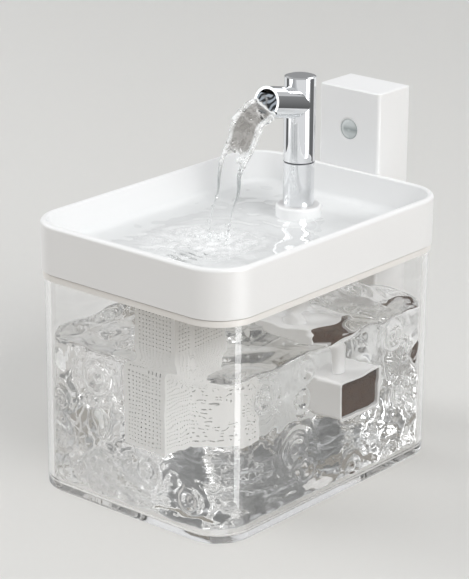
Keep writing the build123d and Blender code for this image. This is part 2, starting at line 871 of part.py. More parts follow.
def sensor_lens():
    radius = lens_diameter / 2
    depth = tower_wall - glue_gap / 2
    dome = TangentArc((0, 0), (radius, lens_dome), tangent=(1, 0))
    sides = Polyline((radius, lens_dome), (radius, depth), (0, depth), (0, 0))
    profile = make_face([dome, *sides.edges()])
    lens = Pos(0, tower_inner_front - depth, sensor_z) * revolve(profile, Axis.Y)
    flange_back = tower_inner_front + lens_flange_height
    return lens + rod_along_y(radius + lens_flange_width, 0, sensor_z, tower_inner_front, flange_back)


def infrared_sensor():
    radius = infrared_diameter / 2
    can = rod_along_y(radius, 0, sensor_z, board_y - infrared_height, board_y)
    return can + rod_along_y(radius + infrared_rim, 0, sensor_z, board_y - infrared_rim_height, board_y)


def circuit_board():
    half = board_width / 2
    board = block(-half, half, board_y, board_back_y, board_bottom_z, board_top_z)
    for x, z in board_boss_places():
        board -= rod_along_y(board_screw_diameter / 2 + loose_gap, x, z, board_y, board_back_y)
    return board


def board_screw(x, z):
    tip = board_back_y - board_screw_length
    head_top = board_back_y + board_screw_head_height
    screw = rod_along_y(board_screw_diameter / 2, x, z, tip, board_back_y)
    return screw + rod_along_y(board_screw_head / 2, x, z, board_back_y, head_top)


def board_screws():
    return joined(board_screw(x, z) for x, z in board_boss_places())


def tact_switch():
    half = switch_size / 2
    switch_back = board_back_y + switch_height
    switch = block(-half, half, board_back_y, switch_back, sensor_z - half, sensor_z + half)
    return switch + rod_along_y(plunger_diameter / 2, 0, sensor_z, switch_back, plunger_end_y)


def mode_button():
    radius = button_diameter / 2
    flange_back = button_flange_y + button_flange_height
    body = rod_along_y(radius, 0, sensor_z, button_flange_y, button_front_y)
    body = fillet(body.edges().group_by(Axis.Y)[-1], button_sink)
    body += rod_along_y(radius + button_flange_width, 0, sensor_z, button_flange_y, flange_back)
    stem_tip = plunger_end_y + button_travel + loose_gap
    return body + rod_along_y(button_stem_diameter / 2, 0, sensor_z, stem_tip, button_flange_y)


def status_light():
    return rod_along_y(status_diameter / 2, 0, status_z, board_back_y, tower_back - glue_gap)


def battery_cells():
    radius = cell_diameter / 2
    return joined(rod(radius, side * cell_x, cell_y, cell_bottom_z, cell_top_z) for side in (-1, 1))


def battery_strips():
    half_x = cell_x + strip_width / 2
    half_y = strip_width / 2
    lower = cell_bottom_z - glue_gap
    upper = cell_top_z + glue_gap
    levels = ((lower - strip_thickness, lower), (upper, upper + strip_thickness))
    return joined(block(-half_x, half_x, cell_y - half_y, cell_y + half_y, z0, z1) for z0, z1 in levels)


def battery_holder():
    half = cell_x + cell_diameter / 2
    floor_top = holder_bottom + holder_wall
    roof_bottom = cell_top_z + strip_thickness + 2 * glue_gap
    top = roof_bottom + holder_wall
    back = cell_y + cell_diameter / 2
    body = block(-half, half, tower_inner_front, tower_inner_front + holder_wall, holder_bottom, top)
    body += block(-half, half, tower_inner_front, back, holder_bottom, floor_top)
    return body + block(-half, half, tower_inner_front, back, roof_bottom, top)


def charge_board():
    half = board_width / 2
    front = charge_board_back - charge_board_depth
    return block(-half, half, front, charge_board_back, charge_board_z, charge_board_top)


def usb_socket():
    half_x = usb_width / 2
    front = usb_back_y - usb_depth
    body = block(-half_x, half_x, front, usb_back_y, charge_board_top, charge_board_top + usb_height)
    body = fillet(body.edges().filter_by(Axis.Y), usb_height / 4)
    mouth = block(usb_shell - half_x, half_x - usb_shell, front + 2 * usb_shell, usb_back_y,
                  charge_board_top + usb_shell, charge_board_top + usb_height - usb_shell)
    mouth = fillet(mouth.edges().filter_by(Axis.Y), usb_height / 4 - usb_shell)
    body -= mouth
    tongue_x = half_x - usb_shell - usb_tongue_side_gap
    tongue_z = usb_tongue / 2
    tongue_end = usb_back_y - usb_shell
    return body + block(-tongue_x, tongue_x, front, tongue_end, usb_z - tongue_z, usb_z + tongue_z)


def port_flap():
    half = flap_width / 2
    near = flap_y - flap_thickness / 2
    far = flap_y + flap_thickness / 2
    flap = block(-half, half, near, far, flap_pivot_z, flap_pivot_z + flap_height)
    flap += rod_along_x(barrel_diameter / 2, flap_y, flap_pivot_z, -half, half)
    plug_x = usb_width / 2 + port_gap - plug_gap
    plug_z = usb_height / 2 + port_gap - plug_gap
    flap += block(-plug_x, plug_x, near - plug_depth, near, usb_z - plug_z, usb_z + plug_z)
    return flap - rod_along_x(flap_pin_diameter / 2 + running_gap, flap_y, flap_pivot_z, -half, half)


def flap_pin():
    half = flap_width / 2 + loose_gap + flap_pin_grip
    return rod_along_x(flap_pin_diameter / 2, flap_y, flap_pivot_z, -half, half)


def power_leads():
    radius = lead_diameter / 2
    return joined(rod(radius, side * lead_x, lead_y, charge_board_top, board_bottom_z) for side in (-1, 1))


def transmitter_coil():
    back = tower_inner_front + transmitter_height
    coil = rod_along_y(transmitter_outer / 2, 0, pump_z, tower_inner_front, back)
    return coil - rod_along_y(transmitter_inner / 2, 0, pump_z, tower_inner_front, back)


def transmitter_ferrite():
    front = tower_inner_front + transmitter_height
    radius = transmitter_outer / 2 + ferrite_margin
    return rod_along_y(radius, 0, pump_z, front, front + ferrite_height)


def tower_magnets():
    return joined(magnet(side, tower_inner_front, magnet_bottom) for side in (-1, 1))


pieces = [
    tank, tank_feet, tank_collar, collar_magnets, seal_ring,
    drinking_tray, faucet_base, base_gasket, nut_washer, base_nut, lower_sleeve, swivel_washer,
    stem_o_rings, retaining_ring, riser_tube,
    faucet_head, head_cap, swivel_bush, spout_insert,
    filter_basket,
    pump_case, pump_body, volute_cover, impeller_shaft, stator_core, stator_winding,
    receiver_ferrite, receiver_coil, impeller, rotor_magnet, intake_sponge,
    tower_shell, tower_feet, tower_back_cover, cover_screws, sensor_lens, infrared_sensor,
    circuit_board, board_screws, tact_switch, mode_button, status_light, battery_cells,
    battery_strips, battery_holder, charge_board, usb_socket, port_flap, flap_pin, power_leads,
    transmitter_coil, transmitter_ferrite, tower_magnets,
]

nodes = {piece.__name__: piece() for piece in pieces}
nodes.update(filter_layers())


def centred(node):
    return joined(Pos(0, -centre_y, 0) * solid for solid in node.solids())


os.makedirs("parts", exist_ok=True)
for name, node in nodes.items():
    export_step(centred(node), f"parts/{name}.step")
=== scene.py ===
import math
import random
import bpy
import bmesh
from mathutils import Matrix, Vector, noise


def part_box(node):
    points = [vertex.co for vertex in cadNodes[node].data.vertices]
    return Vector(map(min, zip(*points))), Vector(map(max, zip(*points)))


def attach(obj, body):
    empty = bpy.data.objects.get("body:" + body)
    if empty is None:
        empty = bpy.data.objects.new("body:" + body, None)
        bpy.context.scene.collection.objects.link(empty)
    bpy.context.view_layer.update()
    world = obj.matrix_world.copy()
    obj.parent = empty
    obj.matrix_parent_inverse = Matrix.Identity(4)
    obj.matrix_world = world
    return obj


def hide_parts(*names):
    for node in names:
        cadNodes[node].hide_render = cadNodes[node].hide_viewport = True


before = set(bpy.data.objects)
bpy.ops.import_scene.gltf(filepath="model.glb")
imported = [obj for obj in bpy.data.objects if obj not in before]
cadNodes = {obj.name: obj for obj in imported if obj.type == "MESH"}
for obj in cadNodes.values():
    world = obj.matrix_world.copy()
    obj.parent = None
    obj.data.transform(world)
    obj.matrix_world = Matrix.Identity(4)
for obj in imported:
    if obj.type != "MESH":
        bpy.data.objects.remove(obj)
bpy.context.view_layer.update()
mm = 0.001
print("frame loaded,", len(cadNodes), "nodes")


def selectNothing():
    if bpy.context.mode != "OBJECT":
        bpy.ops.object.mode_set(mode="OBJECT")
    bpy.ops.object.select_all(action="DESELECT")


def workOn(piece):
    selectNothing()
    piece.select_set(True)
    bpy.context.view_layer.objects.active = piece


def newest(name):
    piece = bpy.context.active_object
    piece.name = name
    piece.data.name = name
    return piece


def settle(piece):
    workOn(piece)
    bpy.ops.object.transform_apply(location=True, rotation=True, scale=True)
    return piece


def pick(piece, kind, test=lambda item: True):
    # leaves the piece in edit mode with the vertices, edges or faces selected that pass the test
    workOn(piece)
    bpy.ops.object.mode_set(mode="EDIT")
    bpy.ops.mesh.select_mode(type=kind)
    bpy.ops.mesh.select_all(action="DESELECT")
    shape = bmesh.from_edit_mesh(piece.data)
    for item in {"VERT": shape.verts, "EDGE": shape.edges, "FACE": shape.faces}[kind]:
        if test(item):
            item.select_set(True)
    shape.select_flush_mode()
    bmesh.update_edit_mesh(piece.data)


def addModifier(piece, kind, **settings):
    workOn(piece)
    modifier = piece.modifiers.new(kind.lower(), kind)
    for key, value in settings.items():
        setattr(modifier, key, value)
    bpy.ops.object.modifier_apply(modifier=modifier.name)


def joinPieces(name, pieces):
    selectNothing()
    for piece in pieces:
        piece.select_set(True)
    bpy.context.view_layer.objects.active = pieces[0]
    bpy.ops.object.join()
    return newest(name)


def smoothAll(piece):
    workOn(piece)
    bpy.ops.object.shade_smooth()


def smoothByAngle(piece, degrees):
    workOn(piece)
    bpy.ops.object.shade_smooth_by_angle(angle=math.radians(degrees))


def roundedBox(name, low, high, corner, cornerSteps, foot=0.0, footSteps=0):
    # a box with round upright corners and, if foot is given, a rounded bottom edge
    selectNothing()
    bpy.ops.mesh.primitive_cube_add(size=1, location=(low + high) / 2, scale=high - low)
    piece = settle(newest(name))
    pick(piece, "EDGE", lambda edge: abs(edge.verts[0].co.z - edge.verts[1].co.z) > mm)
    bpy.ops.mesh.bevel(offset=corner, segments=cornerSteps, affect="EDGES")
    if foot:
        pick(piece, "EDGE", lambda edge: max(vert.co.z for vert in edge.verts) < low.z + mm / 10)
        bpy.ops.mesh.bevel(offset=foot, segments=footSteps, affect="EDGES")
    bpy.ops.object.mode_set(mode="OBJECT")
    return piece


cameraPlace = {
    "azimuth": 40.26,                            # degrees round from the front
    "elevation": 19.32,
    "roll": 0.44,
    "distance": 1.52758,
    "target": Vector((-0.01451, -0.00332, 0.11292)),
    "lens": 149.45,
}


def addCamera():
    turn = math.radians(cameraPlace["azimuth"])
    lift = math.radians(cameraPlace["elevation"])
    roll = math.radians(cameraPlace["roll"])
    back = Vector((math.sin(turn) * math.cos(lift), -math.cos(turn) * math.cos(lift), math.sin(lift)))
    side = Vector((0, 0, 1)).cross(back).normalized()
    up = back.cross(side)
    sideRolled = side * math.cos(roll) + up * math.sin(roll)
    upRolled = up * math.cos(roll) - side * math.sin(roll)
    spot = cameraPlace["target"] + back * cameraPlace["distance"]
    data = bpy.data.cameras.new("camera")
    data.lens = cameraPlace["lens"]
    data.clip_start = 0.05
    camera = bpy.data.objects.new("camera", data)
    axes = Matrix((sideRolled, upRolled, back)).transposed().to_4x4()
    camera.matrix_world = Matrix.Translation(spot) @ axes
    bpy.context.scene.collection.objects.link(camera)
    bpy.context.scene.camera = camera


addCamera()
print("camera set")


def colour(code):
    # sRGB hex such as "F2F1EE" to a linear colour
    parts = [int(code[start:start + 2], 16) / 255 for start in (0, 2, 4)]
    linear = [part / 12.92 if part <= 0.04045 else ((part + 0.055) / 1.055) ** 2.4 for part in parts]
    return (*linear, 1.0)


def feed(owner, node, inputs):
    # gives each input a number, a hex colour, or a link from a socket or from a node's first output
    for socket, value in inputs.items():
        source = value.outputs[0] if isinstance(value, bpy.types.Node) else value
        if isinstance(source, bpy.types.NodeSocket):
            owner.node_tree.links.new(source, node.inputs[socket])
        else:
            node.inputs[socket].default_value = colour(value) if isinstance(value, str) else value


def addNode(owner, kind, inputs=None, **settings):
    node = owner.node_tree.nodes.new("ShaderNode" + kind)
    for key, value in settings.items():
        setattr(node, key, value)
    feed(owner, node, inputs or {})
    return node


materials = {}


def newMaterial(name, inputs):
    # gives the material, its shader, and the place on the piece, in metres, that its patterns read
    material = bpy.data.materials.new(name)
    material.use_nodes = True
    materials[name] = material
    shader = material.node_tree.nodes["Principled BSDF"]
    feed(material, shader, inputs)
    return material, shader, addNode(material, "TexCoord").outputs["Object"]


def between(start, end):
    # where a map range starts and ends, in mm
    return {"From Min": start * mm, "From Max": end * mm}


def mouldedPlastic(name, light, dark, roughness, grain, depth):
    # Injection-moulded plastic: colour all through, with the faint unevenness of the tool's surface.
    # Grain and depth are in mm. The real grain is finer, and is drawn this coarse so that it shows.
    material, shader, place = newMaterial(name, {"IOR": 1.54})
    flow = addNode(material, "TexNoise", {"Scale": 1 / (40 * mm), "Detail": 3.0, "Vector": place})
    skin = addNode(material, "TexNoise", {"Scale": 1 / (grain * mm), "Detail": 2.0, "Vector": place})
    feed(material, shader, {
        "Base Color": addNode(material, "MixRGB", {"Fac": flow, "Color1": light, "Color2": dark}),
        "Roughness": addNode(material, "MapRange", {
            "Value": skin, "To Min": roughness * 0.8, "To Max": roughness * 1.2}),
        "Normal": addNode(material, "Bump", {"Height": skin, "Distance": depth * mm}),
    })


def platedMetal(name, tint, shade, roughness, grain):
    # Plated or polished metal: mirror-like, with a trace of haze that breaks up long reflections.
    material, shader, place = newMaterial(name, {"Metallic": 1.0})
    haze = addNode(material, "TexNoise", {"Scale": 1 / (grain * mm), "Detail": 4.0, "Vector": place})
    feed(material, shader, {
        "Base Color": addNode(material, "MixRGB", {"Fac": haze, "Color1": tint, "Color2": shade}),
        "Roughness": addNode(material, "MapRange", {
            "Value": haze, "To Min": roughness * 0.7, "To Max": roughness * 1.3}),
    })


def granular(name, light, dark, roughness, grain, depth):
    # Foam cells, granules and beads: rounded cells, with painted shade darkening the gaps between them.
    material, shader, place = newMaterial(name, {"IOR": 1.45, "Roughness": roughness})
    cells = addNode(material, "TexVoronoi", {"Scale": 1 / (grain * mm), "Vector": place})
    height = addNode(material, "Math", {0: 1.0, 1: cells}, operation="SUBTRACT")
    feed(material, shader, {
        # painted shade: darker towards each cell's edge, where the cells meet
        "Base Color": addNode(material, "MixRGB", {"Fac": cells, "Color1": light, "Color2": dark}),
        "Normal": addNode(material, "Bump", {"Height": height, "Distance": depth * mm}),
    })


def clearSolid(name, tint, ior, roughness, shadowTint):
    # Clear plastic or water: bends what is behind it, and lets lamps through with a light tint.
    material, shader, place = newMaterial(name, {
        "Base Color": tint, "IOR": ior, "Roughness": roughness, "Transmission Weight": 1.0})
    if roughness:
        wear = addNode(material, "TexNoise", {"Scale": 1 / (25 * mm), "Detail": 2.0, "Vector": place})
        feed(material, shader, {"Roughness": addNode(material, "MapRange", {
            "Value": wear, "To Min": roughness * 0.5, "To Max": roughness})})
    path = addNode(material, "LightPath").outputs
    passing = addNode(material, "Math", {0: path["Is Shadow Ray"], 1: path["Is Diffuse Ray"]},
                      operation="MAXIMUM")
    window = addNode(material, "BsdfTransparent", {"Color": shadowTint})
    mixer = addNode(material, "MixShader", {"Fac": passing, 1: shader, 2: window})
    feed(material, material.node_tree.nodes["Material Output"], {"Surface": mixer})
    return material, shader, place


faucetLow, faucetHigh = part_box("head_cap")
faucetMiddle = (faucetLow + faucetHigh) / 2
spoutRise = math.radians(12)
waterIor = 1.333
mouthMiddle = Vector((faucetMiddle.x, faucetMiddle.y - 33.1 * mm, 236.04 * mm))

tornWater = {
    "film": "B4B2AF",
    "rim": "FBFCFC",
    "strand": "C6C9CA",
    "drip": "F3F4F4",
    "throat": "AEB7C1",                          # in the spout's mouth: aerated water with a painted sky reflection, crossed by darker streaks of painted shade
    "throatShadeStreak": "22262B",
    "streak": 6.0 * mm,
    "fineStreak": 2.8 * mm,
    "mostFroth": 0.6,
    "lipFroth": 0.85,
    "lipMiddle": 1.3 * mm,                       # the white lip's middle, ahead of the mouth
    # where one turns into the next
    "lipHalf": between(0.9, 0.45),               # out from the lip's middle
    "throatEnd": between(0.7, 0.5),              # ahead of the mouth
    "rimFrom": between(6.0, 7.4),                # across the sheet
    "lowerRim": between(213.0, 208.0),           # and by height
    "froth": between(192.0, 206.0),
    "strandFrom": between(172.0, 190.0),
}


def aeratedWater(name):
    # Water torn up with air: streaked in the mouth with painted shade over a painted sky reflection, white at
    # its lip, then a greyish film between whiter rims, and clear strands lower down.
    shape = tornWater
    material, shader, place = clearSolid(name, shape["rim"], waterIor, 0.02, "FEFEFE")
    parts = addNode(material, "SeparateXYZ", {"Vector": place}).outputs
    across = addNode(material, "Math", {0: parts["X"]}, operation="ABSOLUTE")
    side = addNode(material, "MapRange", {"Value": across, **shape["rimFrom"]})
    hem = addNode(material, "MapRange", {"Value": parts["Z"], **shape["lowerRim"]})
    rim = addNode(material, "Math", {0: side, 1: hem}, operation="MAXIMUM")
    torn = addNode(material, "MapRange", {"Value": parts["Z"], **shape["froth"]})
    strands = addNode(material, "MapRange", {"Value": parts["Z"], **shape["strandFrom"]})

    # how far ahead of the mouth's plane
    sine, cosine = math.sin(spoutRise), math.cos(spoutRise)
    mouthStart = mouthMiddle.z * sine - mouthMiddle.y * cosine
    outward = addNode(material, "Math", {0: parts["Y"], 1: -cosine, 2: -mouthStart}, operation="MULTIPLY_ADD")
    ahead = addNode(material, "Math", {0: parts["Z"], 1: sine, 2: outward}, operation="MULTIPLY_ADD")
    throat = addNode(material, "MapRange", {"Value": ahead, **shape["throatEnd"]})
    past = addNode(material, "Math", {0: ahead, 1: shape["lipMiddle"]}, operation="SUBTRACT")
    fromLip = addNode(material, "Math", {0: past}, operation="ABSOLUTE")
    lip = addNode(material, "MapRange", {"Value": fromLip, **shape["lipHalf"]})

    # the mouth's streaks of painted shade rise to the right, and a wave texture's bands are 0.314 / Scale
    # apart
    mirrored = addNode(material, "VectorMath", {0: place, 1: (-1.0, 1.0, 1.0)}, operation="MULTIPLY")
    fine = addNode(material, "TexWave", {
        "Scale": 0.314 / shape["fineStreak"], "Distortion": 5.0, "Detail": 1.0, "Detail Scale": 1.2,
        "Vector": mirrored}, bands_direction="DIAGONAL")
    sharp = addNode(material, "MapRange", {"Value": fine.outputs["Fac"], "From Min": 0.25, "From Max": 0.75})
    mouth = addNode(material, "MixRGB", {
        "Fac": sharp, "Color1": shape["throatShadeStreak"], "Color2": shape["throat"]})
    white = addNode(material, "Math", {0: rim, 1: lip}, operation="MAXIMUM")
    sheet = addNode(material, "MixRGB", {"Fac": white, "Color1": shape["film"], "Color2": shape["rim"]})
    sheet = addNode(material, "MixRGB", {"Fac": throat, "Color1": sheet, "Color2": mouth})
    fall = addNode(material, "MixRGB", {"Fac": strands, "Color1": shape["drip"], "Color2": shape["strand"]})
    tint = addNode(material, "MixRGB", {"Fac": torn, "Color1": fall, "Color2": sheet})

    # froth lets no light through: patches of it in the film, and nearly all in the mouth
    streaks = addNode(material, "TexNoise", {
        "Scale": 1 / shape["streak"], "Detail": 1.0, "Distortion": 1.0, "Vector": place})
    patches = addNode(material, "MapRange", {
        "Value": streaks, "From Min": 0.38, "From Max": 0.66, "To Max": shape["mostFroth"]})
    frothy = addNode(material, "Math", {0: patches, 1: torn}, operation="MULTIPLY")
    full = addNode(material, "Math", {0: lip, 1: throat}, operation="MAXIMUM")
    filled = addNode(material, "Math", {0: full, 1: shape["lipFroth"]}, operation="MULTIPLY")
    froth = addNode(material, "Math", {0: frothy, 1: filled}, operation="MAXIMUM")
    clear = addNode(material, "Math", {0: 1.0, 1: froth}, operation="SUBTRACT")
    feed(material, shader, {"Base Color": tint, "Transmission Weight": clear})


landingFroth = {
    "ahead": 92.0 * mm,                          # its middle, in front of the faucet's axis
    "thin": 46.0 * mm,                           # how far from there it has gone
    "thick": 8.0 * mm,                           # and how far it is thickest
    "patch": 11.0 * mm,
    "most": 0.85,
}


def splashedWater(name):
    # Clear water under a falling stream, with patches of white froth round the place where it lands.
    shape = landingFroth
    material, shader, place = clearSolid(name, "FDFEFE", waterIor, 0.0, "F8F9F9")
    parts = addNode(material, "SeparateXYZ", {"Vector": place}).outputs
    ahead = addNode(material, "Math", {0: parts["Y"], 1: shape["ahead"] - faucetMiddle.y}, operation="ADD")
    away = addNode(material, "CombineXYZ", {"X": parts["X"], "Y": ahead})
    radius = addNode(material, "VectorMath", {0: away}, operation="LENGTH").outputs["Value"]
    near = addNode(material, "MapRange", {
        "Value": radius, "From Min": shape["thin"], "From Max": shape["thick"], "To Max": shape["most"]})
    patches = addNode(material, "TexNoise", {
        "Scale": 1 / shape["patch"], "Detail": 3.0, "Distortion": 1.5, "Vector": place})
    white = addNode(material, "MapRange", {"Value": patches, "From Min": 0.4, "From Max": 0.6})
    froth = addNode(material, "Math", {0: near, 1: white}, operation="MULTIPLY")
    feed(material, shader, {
        "Transmission Weight": addNode(material, "Math", {0: 1.0, 1: froth}, operation="SUBTRACT")})


sensorWindow = {
    "middle": 201.3 * mm,                        # height of the window's middle
    "glass": "C4CACA",
    # a dark room's painted reflection, on the bar where the divider parts the two eyes
    "dividerReflection": "98A0A0",
    # painted highlight, on the left of the ring
    "ring": "D3D8D8",
    # painted shade round the rim of the recess
    "edge": "9CA4A4",
    "dividerReflectionHalf": between(0.2, 2.8),            # up and down from the middle
    "highlightRingFrom": between(3.8, 5.2),               # out from the middle
    "rimShadeFrom": between(5.6, 6.6),
}


def smokedLens(name):
    # Polished polycarbonate over the sensor's two eyes: paler above and below the bar that parts them. Light
    # and shade are painted on it.
    shape = sensorWindow
    material, shader, place = newMaterial(name, {
        "IOR": 1.58, "Roughness": 0.06, "Coat Weight": 1.0, "Coat Roughness": 0.02})
    parts = addNode(material, "SeparateXYZ", {"Vector": place}).outputs
    height = addNode(material, "Math", {0: parts["Z"], 1: shape["middle"]}, operation="SUBTRACT")
    away = addNode(material, "CombineXYZ", {"X": parts["X"], "Z": height})
    radius = addNode(material, "VectorMath", {0: away}, operation="LENGTH").outputs["Value"]
    upOrDown = addNode(material, "Math", {0: height}, operation="ABSOLUTE")
    # the bar's darkness is a painted reflection of a dark room, laid where the divider parts the two eyes
    darkReflectionBar = addNode(material, "MapRange", {"Value": upOrDown, **shape["dividerReflectionHalf"]})
    ring = addNode(material, "MapRange", {"Value": radius, **shape["highlightRingFrom"]})
    # painted shade: darker round the rim of the recess
    edge = addNode(material, "MapRange", {"Value": radius, **shape["rimShadeFrom"]})
    leftward = addNode(material, "Math", {0: parts["X"], 1: 0.0}, operation="LESS_THAN")
    # painted highlight: the ring is paler only on its left, where light falls
    lit = addNode(material, "Math", {0: ring, 1: leftward}, operation="MULTIPLY")
    eyes = addNode(material, "MixRGB", {"Fac": darkReflectionBar, "Color1": shape["dividerReflection"], "Color2": shape["glass"]})
    highlighted = addNode(material, "MixRGB", {"Fac": lit, "Color1": eyes, "Color2": shape["ring"]})
    rimShaded = addNode(material, "MixRGB", {"Fac": edge, "Color1": highlighted, "Color2": shape["edge"]})
    feed(material, shader, {"Base Color": rimShaded})


clearSolid("clearAcrylic", "FEFEFE", 1.49, 0.01, "FEFEFE")                   # cast and polished: edges glint
clearSolid("tankWater", "FDFEFE", waterIor, 0.0, "FEFEFE")                   # no colour of its own
aeratedWater("aeratedWater")
splashedWater("basinWater")
mouldedPlastic("satinAbsWhite", "F3F3F3", "F0F0F0", 0.44, 1.6, 0.002)        # broad, soft highlights
mouldedPlastic("satinAbsCream", "F1EFEC", "EEEBE7", 0.4, 1.6, 0.002)         # the same, a little warmer
mouldedPlastic("satinPolypropylene", "F2F2F1", "EEEEED", 0.34, 0.9, 0.003)   # waxy sheen
platedMetal("chromePlate", "F2F3F4", "EBECEE", 0.03, 30)                     # over polished brass: a mirror
platedMetal("nickelPlate", "D8D5CC", "C9C5BB", 0.12, 8)                      # warmer, a little blurred
platedMetal("brightSteel", "C9CACC", "B5B6B9", 0.2, 3)                       # rolled sheet: short reflections
mouldedPlastic("whiteSilicone", "E9E9E7", "E2E2E0", 0.55, 0.6, 0.004)        # rubber: dull
mouldedPlastic("greySilicone", "55565A", "4B4C50", 0.6, 0.6, 0.004)          # duller still, and dark
mouldedPlastic("darkAbs", "3A342E", "2E2924", 0.4, 0.8, 0.004)               # shows its highlights more
mouldedPlastic("blackAbs", "26262A", "1E1E21", 0.42, 0.8, 0.004)             # the same, but neutral
mouldedPlastic("acetal", "F1F0EC", "E9E8E3", 0.35, 0.7, 0.003)               # slightly waxy
granular("darkFoam", "5C3A1B", "1F1207", 0.95, 1.1, 0.5)                     # open cells: no shine at all
granular("filterFoam", "EDF1F4", "A9B0B6", 0.95, 1.1, 0.5)                   # the same, with greyer painted shade in the pores
granular("carbonGrain", "2F2F31", "0B0B0C", 0.6, 1.4, 0.7)                   # crushed: a dull glint
granular("resinBeads", "D9A45A", "7A4C17", 0.3, 0.9, 0.4)                    # small amber balls, shiny
mouldedPlastic("ceramic", "F2EEE4", "E8E3D6", 0.12, 0.5, 0.001)              # ground shaft: tight highlight
granular("ferrite", "3A3A3E", "232326", 0.7, 0.5, 0.05)                      # pressed powder: matt
platedMetal("copperWire", "D9905C", "B96E3D", 0.25, 0.5)                     # enamelled winding: broken gleam
mouldedPlastic("solderMask", "1E6B45", "17573A", 0.3, 1.0, 0.01)             # green lacquer: even gloss
mouldedPlastic("shrinkSleeve", "4A7FB0", "3F719F", 0.25, 2.0, 0.01)          # film shrunk over the cells
smokedLens("smokedLens")
mouldedPlastic("lightPipe", "DDE6EC", "D3DDE4", 0.2, 2.0, 0.001)             # milky acrylic

slotMaterials = {
    "clear_acrylic": "clearAcrylic",
    "white_abs": "satinAbsWhite",
    "cream_abs": "satinAbsCream",
    "chrome": "chromePlate",
    "white_silicone": "whiteSilicone",
    "grey_silicone": "greySilicone",
    "dark_abs": "darkAbs",
    "white_acetal": "acetal",
    "steel": "brightSteel",
    "nickel": "nickelPlate",
    "dark_foam": "darkFoam",
    "filter_foam": "filterFoam",
    "carbon": "carbonGrain",
    "resin": "resinBeads",
    "ceramic": "ceramic",
    "ferrite": "ferrite",
    "copper": "copperWire",
    "circuit_laminate": "solderMask",
    "cell_wrap": "shrinkSleeve",
    "black_abs": "blackAbs",
    "smoked_lens": "smokedLens",
    "light_pipe": "lightPipe",
}


def finishWith(piece, name):
    piece.data.materials.clear()
    piece.data.materials.append(materials[name])


for node in cadNodes.values():
    slotName = node.material_slots[0].material.name.split(".")[0]
    finishWith(node, slotMaterials.get(slotName, "satinAbsWhite"))
print("materials on the solids")


tankShape = {
    "wall": 3.0 * mm,
    "floor": 3.5 * mm,
    "corner": 24.8 * mm,
    "cornerSteps": 28,
    "outerFoot": 2.2 * mm,
    "innerFoot": 4.0 * mm,
    "footSteps": 6,
}
tankLow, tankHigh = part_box("tank")
tankMiddle = (tankLow + tankHigh) / 2


def buildTank():
    shape = tankShape
    outer = roundedBox("clear_tank", tankLow, tankHigh, shape["corner"], shape["cornerSteps"],
                       shape["outerFoot"], shape["footSteps"])
    inLow = tankLow + Vector((shape["wall"], shape["wall"], shape["floor"]))
    inHigh = tankHigh - Vector((shape["wall"], shape["wall"], -shape["wall"]))
    inner = roundedBox("tankHollow", inLow, inHigh, shape["corner"] - shape["wall"], shape["cornerSteps"],
                       shape["innerFoot"], shape["footSteps"])
    addModifier(outer, "BOOLEAN", object=inner, operation="DIFFERENCE", solver="EXACT")
    bpy.data.objects.remove(inner)
    smoothByAngle(outer, 30)
    finishWith(outer, "clearAcrylic")
    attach(outer, "tank")
    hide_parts("tank")


buildTank()
print("tank built")


basketShape = {
    "wall": 1.4 * mm,
    "cell": 2.65 * mm,
    "hole": 0.85 * mm,
    "plainRows": 1,                              # rows without holes along each edge of a wall
}


def perforatedSheet(width, height):
    # a flat sheet in the XY plane, with a square hole in the middle of each cell
    shape = basketShape
    columns = round(width / shape["cell"])
    rows = round(height / shape["cell"])
    selectNothing()
    bpy.ops.mesh.primitive_grid_add(x_subdivisions=columns, y_subdivisions=rows, size=1)
    sheet = newest("sheet")
    sheet.scale = (width, height, 1)
    settle(sheet)
    plain = shape["plainRows"] + 0.1             # a little over, so that rounding takes no row
    plainX = width / 2 - plain * width / columns
    plainY = height / 2 - plain * height / rows

    def holds(face):
        place = face.calc_center_median()
        return abs(place.x) < plainX and abs(place.y) < plainY

    pick(sheet, "FACE", holds)
    bpy.ops.mesh.inset(thickness=(shape["cell"] - shape["hole"]) / 2, use_individual=True)
    bpy.ops.mesh.delete(type="FACE")
    bpy.ops.object.mode_set(mode="OBJECT")
    return sheet


def placeSheet(sheet, turns, spot):
    for axis, degrees in turns:
        sheet.data.transform(Matrix.Rotation(math.radians(degrees), 4, axis))
    sheet.data.transform(Matrix.Translation(spot))
    return sheet


def buildBasket():
    shape = basketShape
    low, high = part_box("filter_basket")
    size = high - low
    middle = (low + high) / 2
    sheets = []
    for side in (-1, 1):
        wall = perforatedSheet(size.y, size.z)
        spot = Vector((middle.x + side * size.x / 2, middle.y, middle.z))
        sheets.append(placeSheet(wall, (("X", 90), ("Z", 90 * side)), spot))
        wall = perforatedSheet(size.x, size.z)
        spot = Vector((middle.x, middle.y + side * size.y / 2, middle.z))
        sheets.append(placeSheet(wall, (("X", 90), ("Z", 90 + 90 * side)), spot))
    floor = perforatedSheet(size.x, size.y)
    sheets.append(placeSheet(floor, (("X", 180),), Vector((middle.x, middle.y, low.z))))
    basket = joinPieces("fine_basket", sheets)
    pick(basket, "VERT")
    bpy.ops.mesh.remove_doubles(threshold=shape["cell"] / 20)
    bpy.ops.object.mode_set(mode="OBJECT")
    addModifier(basket, "SOLIDIFY", thickness=shape["wall"], offset=-1, use_even_offset=True)
    smoothByAngle(basket, 30)
    finishWith(basket, "satinPolypropylene")
    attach(basket, "basket")
    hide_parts("filter_basket")


buildBasket()
print("filter basket built")


intakeLip = {
    "inset": 1.0 * mm,                           # in from the outside of the pump's case
    "corner": 2.4 * mm,
    "radius": 0.8 * mm,
    "back": 0.6 * mm,                            # behind the case's mouth
}


